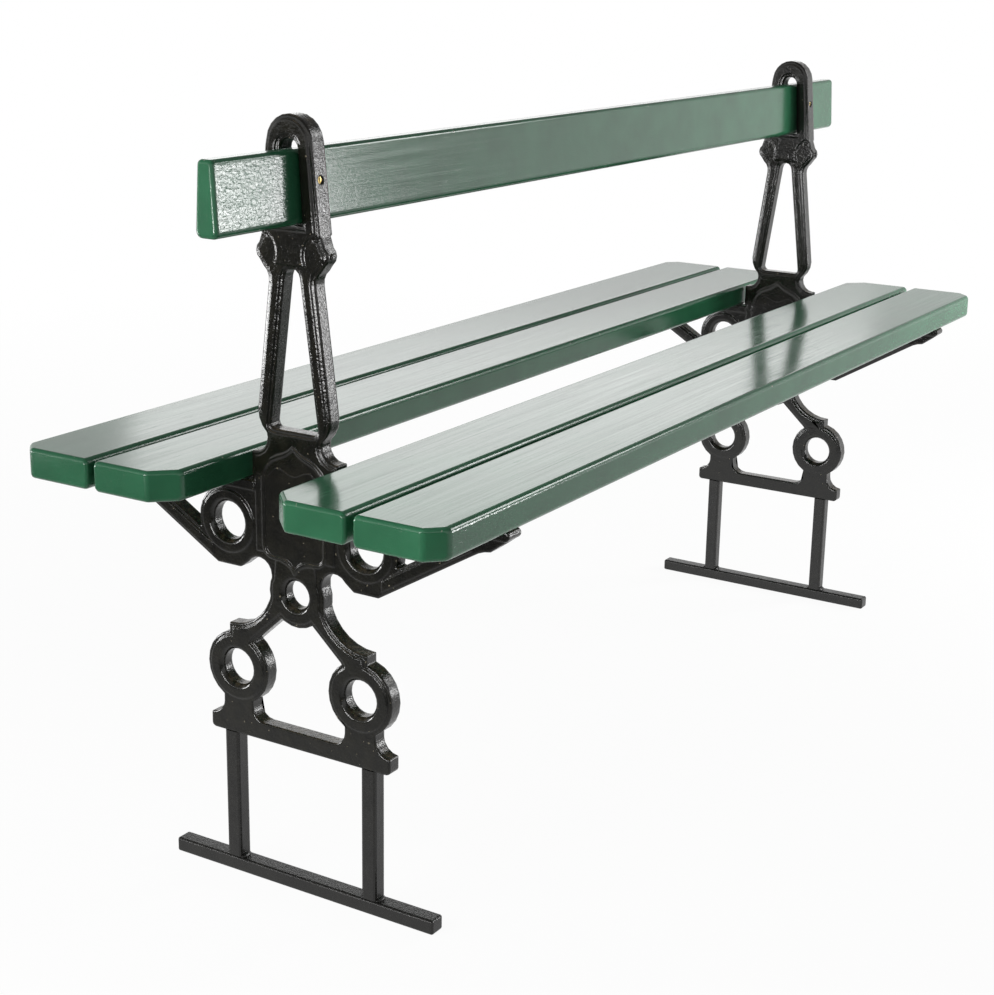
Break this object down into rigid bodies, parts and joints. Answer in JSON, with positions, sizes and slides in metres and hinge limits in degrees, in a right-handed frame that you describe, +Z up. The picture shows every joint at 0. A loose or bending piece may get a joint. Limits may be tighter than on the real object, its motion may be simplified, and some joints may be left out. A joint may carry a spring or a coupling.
{
  "type": "park bench",
  "caption": "Double-sided park bench with ornamental cast-iron end frames on steel feet, clipped-corner wooden seat planks on both sides and a back plank through loops.",
  "frame": {"origin": "on the ground, under the middle of the bench", "axes": "+X along the bench, from the left end frame to the right one; +Y across the bench from the front seat to the rear seat; +Z up"},
  "size_m": [2.08, 0.734, 1.1695],
  "materials": {
    "black_paint": "gloss black paint on cast iron, slightly pitted",
    "black_steel": "gloss black paint on steel bar",
    "green_wood": "gloss green enamel on planed wood, brushed along the grain",
    "zinc": "zinc-plated wood screw",
    "brass": "dull brass countersunk wood screw"
  },
  "bodies": {
    "root": {"left_casting": "black_paint", "right_casting": "black_paint", "left_front_leg": "black_steel", "left_rear_leg": "black_steel", "right_front_leg": "black_steel", "right_rear_leg": "black_steel", "left_ground_bar": "black_steel", "right_ground_bar": "black_steel", "back_plank": "green_wood", "front_inner_plank": "green_wood", "front_outer_plank": "green_wood", "rear_inner_plank": "green_wood", "rear_outer_plank": "green_wood", "left_front_inner_screw": "zinc", "left_front_outer_screw": "zinc", "left_rear_inner_screw": "zinc", "left_rear_outer_screw": "zinc", "right_front_inner_screw": "zinc", "right_front_outer_screw": "zinc", "right_rear_inner_screw": "zinc", "right_rear_outer_screw": "zinc", "left_front_back_screw": "brass", "left_rear_back_screw": "brass", "right_front_back_screw": "brass", "right_rear_back_screw": "brass"}
  },
  "joints": []
}
